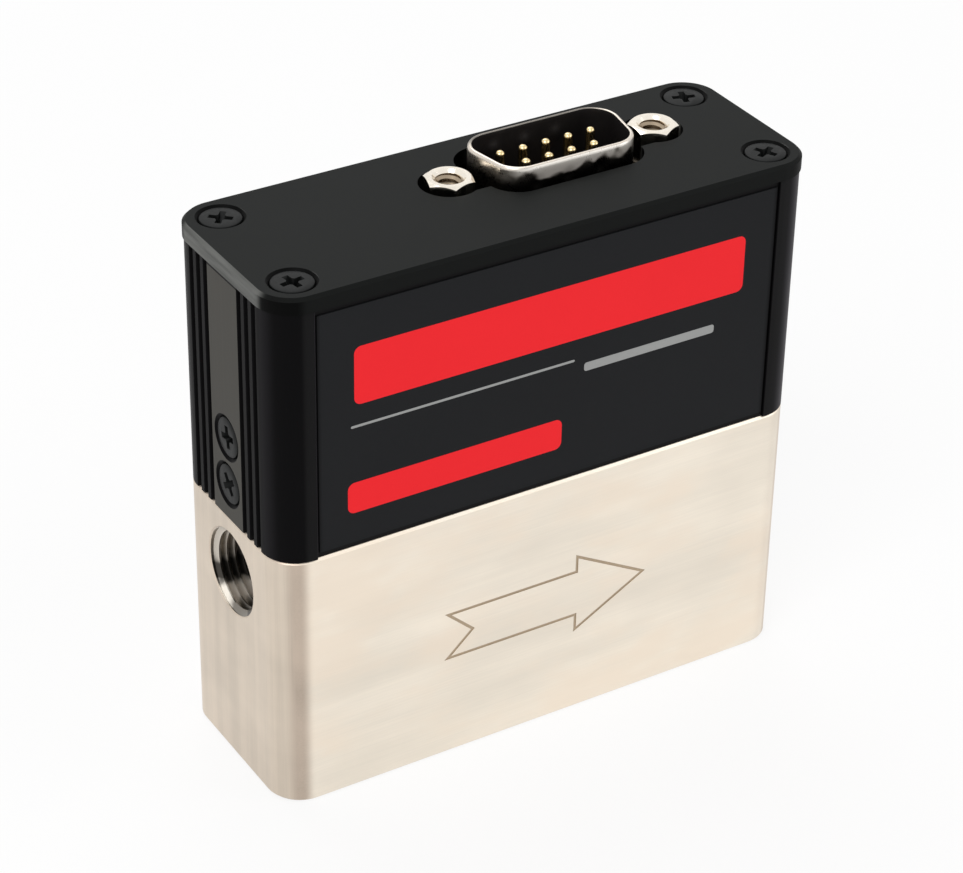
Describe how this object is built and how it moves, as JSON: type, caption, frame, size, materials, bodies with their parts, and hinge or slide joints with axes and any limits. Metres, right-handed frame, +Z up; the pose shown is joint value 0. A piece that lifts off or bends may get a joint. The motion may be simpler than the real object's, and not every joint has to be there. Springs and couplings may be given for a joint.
{
  "type": "mass flow controller",
  "caption": "Gas flow controller: steel block with threaded side ports, black ribbed housing, pin connector on top and a spring-closed solenoid valve inside.",
  "frame": {"origin": "centre of the base, on the bench", "axes": "+X along the gas flow from inlet to outlet, +Y towards the back, +Z up"},
  "size_m": [0.0638, 0.0226, 0.0628],
  "materials": {
    "body_steel": "ground stainless steel, fine horizontal grain on the long faces",
    "black_anodised": "black anodised, satin",
    "black_screw": "black oxide",
    "label_film": "printed film, satin",
    "nickel_plate": "bright nickel plate",
    "connector_plastic": "moulded, black",
    "gold_pin": "gold flash",
    "circuit_board": "solder resist, green",
    "chip_package": "moulded package",
    "crystal_can": "plated can",
    "capacitor_body": "fired, tan",
    "header_plastic": "moulded, black",
    "manifold_metal": "machined",
    "sensor_die": "polished die",
    "seal_rubber": "fluoroelastomer",
    "plain_steel": "machined stainless steel",
    "magnetic_steel": "machined soft magnetic steel",
    "bobbin_plastic": "glass-filled, dark",
    "copper_wire": "enamelled copper",
    "plated_brass": "nickel plated"
  },
  "bodies": {
    "controller": {"flow_body": "body_steel", "housing": "black_anodised", "top_cap": "black_anodised", "cap_screws": "black_screw", "side_screws": "black_screw", "front_label": "label_film", "connector_shell": "nickel_plate", "connector_insulator": "connector_plastic", "connector_back_shell": "nickel_plate", "connector_pins": "gold_pin", "jackscrews": "nickel_plate", "connector_board": "circuit_board", "board_standoffs": "plated_brass", "board_screws": "plain_steel", "main_board": "circuit_board", "microcontroller": "chip_package", "valve_driver": "chip_package", "timing_crystal": "crystal_can", "board_capacitors": "capacitor_body", "board_link": "header_plastic", "sensor_header": "header_plastic", "sensor_manifold": "manifold_metal", "sensor_board": "circuit_board", "sensor_amplifier": "chip_package", "flow_sensor_chip": "sensor_die", "sensor_orings": "seal_rubber", "sensor_screws": "plain_steel", "inlet_screen": "plain_steel", "screen_ring": "plain_steel", "laminar_element": "plain_steel", "valve_seat": "plain_steel", "valve_orings": "seal_rubber", "valve_plate": "plain_steel", "valve_plate_screw": "plain_steel", "core_tube": "plain_steel", "pole_piece": "magnetic_steel", "return_spring": "plain_steel", "bobbin": "bobbin_plastic", "coil": "copper_wire", "coil_leads": "copper_wire", "yoke_can": "magnetic_steel", "yoke_nut": "plain_steel"},
    "plunger": {"plunger": "magnetic_steel", "plunger_seal": "seal_rubber"}
  },
  "joints": [
    {"name": "plunger_slide", "type": "slide", "parent": "controller", "child": "plunger", "axis": [0, 0, 1], "range_m": [0, 0.0005], "stiffness_N_per_m": 200, "springref_m": -0.002, "deforming": ["return_spring"]}
  ]
}
